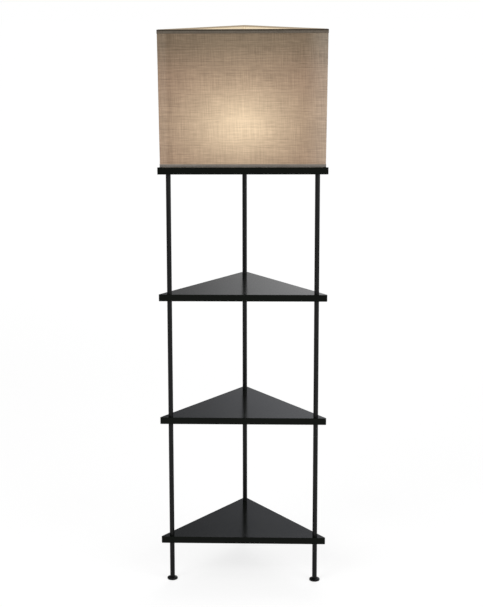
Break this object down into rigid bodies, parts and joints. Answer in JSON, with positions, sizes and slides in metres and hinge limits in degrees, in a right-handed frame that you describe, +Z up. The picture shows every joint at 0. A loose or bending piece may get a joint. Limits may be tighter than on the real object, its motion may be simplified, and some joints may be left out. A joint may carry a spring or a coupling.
{
  "type": "shelf floor lamp",
  "caption": "Corner tower floor lamp: open triangular shelves on tube posts carry a triangular fabric shade with a screw-in bulb.",
  "frame": {"origin": "on the floor, under the middle of the shelves' bounding box", "axes": "+Z up, front edge of the shelves towards -Y, +X to the right seen from the front, rear post at +Y"},
  "size_m": [0.4386, 0.3204, 1.473],
  "materials": {
    "board_black": "satin black lacquer on fibreboard",
    "post_black": "black powder coat",
    "zinc_steel": "zinc plated",
    "screw_black": "black plated",
    "foot_plastic": "moulded black",
    "bushing_plastic": "moulded black",
    "plate_black": "black paint",
    "holder_plastic": "moulded black",
    "contact_brass": "plain",
    "bulb_glass": "frosted",
    "bulb_metal": "satin",
    "bulb_insulator": "glossy",
    "shade_linen": "linen weave",
    "shade_band": "folded linen band",
    "frame_wire": "white paint"
  },
  "bodies": {
    "tower": {"base_plate": "plate_black", "cord_bushing": "bushing_plastic", "deck_screws": "screw_black", "fitter_ring": "frame_wire", "holder_contact": "contact_brass", "holder_screw_shell": "contact_brass", "lamp_holder": "holder_plastic", "lamp_nipple": "zinc_steel", "left_leg": "post_black", "left_lower_post": "post_black", "left_middle_post": "post_black", "left_post_inserts": "zinc_steel", "left_shade_arm": "frame_wire", "left_shelf_studs": "zinc_steel", "left_upper_post": "post_black", "lower_shelf": "board_black", "middle_shelf": "board_black", "nipple_locknut": "zinc_steel", "nipple_washer": "zinc_steel", "rear_deck_nut": "zinc_steel", "rear_deck_pipe": "zinc_steel", "rear_hollow_studs": "zinc_steel", "rear_leg": "post_black", "rear_lower_post": "post_black", "rear_middle_post": "post_black", "rear_post_inserts": "zinc_steel", "rear_shade_arm": "frame_wire", "rear_upper_post": "post_black", "right_leg": "post_black", "right_lower_post": "post_black", "right_middle_post": "post_black", "right_post_inserts": "zinc_steel", "right_shade_arm": "frame_wire", "right_shelf_studs": "zinc_steel", "right_upper_post": "post_black", "shade_bottom_hem": "shade_band", "shade_bottom_wire": "frame_wire", "shade_clamp_ring": "holder_plastic", "shade_corner_wires": "frame_wire", "shade_front_panel": "shade_linen", "shade_left_panel": "shade_linen", "shade_right_panel": "shade_linen", "shade_top_hem": "shade_band", "shade_top_wire": "frame_wire", "top_deck": "board_black", "upper_shelf": "board_black"},
    "left_foot": {"left_foot_pad": "foot_plastic", "left_foot_stud": "zinc_steel"},
    "right_foot": {"right_foot_pad": "foot_plastic", "right_foot_stud": "zinc_steel"},
    "rear_foot": {"rear_foot_pad": "foot_plastic", "rear_foot_stud": "zinc_steel"},
    "bulb": {"bulb_globe": "bulb_glass", "bulb_cap": "bulb_metal", "bulb_insulator": "bulb_insulator", "bulb_contact": "bulb_metal"}
  },
  "joints": [
    {"name": "left_foot_levelling", "type": "slide", "parent": "tower", "child": "left_foot", "axis": [0, 0, -1], "range_m": [0, 0.008]},
    {"name": "right_foot_levelling", "type": "slide", "parent": "tower", "child": "right_foot", "axis": [0, 0, -1], "range_m": [0, 0.008]},
    {"name": "rear_foot_levelling", "type": "slide", "parent": "tower", "child": "rear_foot", "axis": [0, 0, -1], "range_m": [0, 0.008]},
    {"name": "bulb_removal", "type": "slide", "parent": "tower", "child": "bulb", "axis": [0, 0, 1], "range_m": [0, 0.03]}
  ]
}
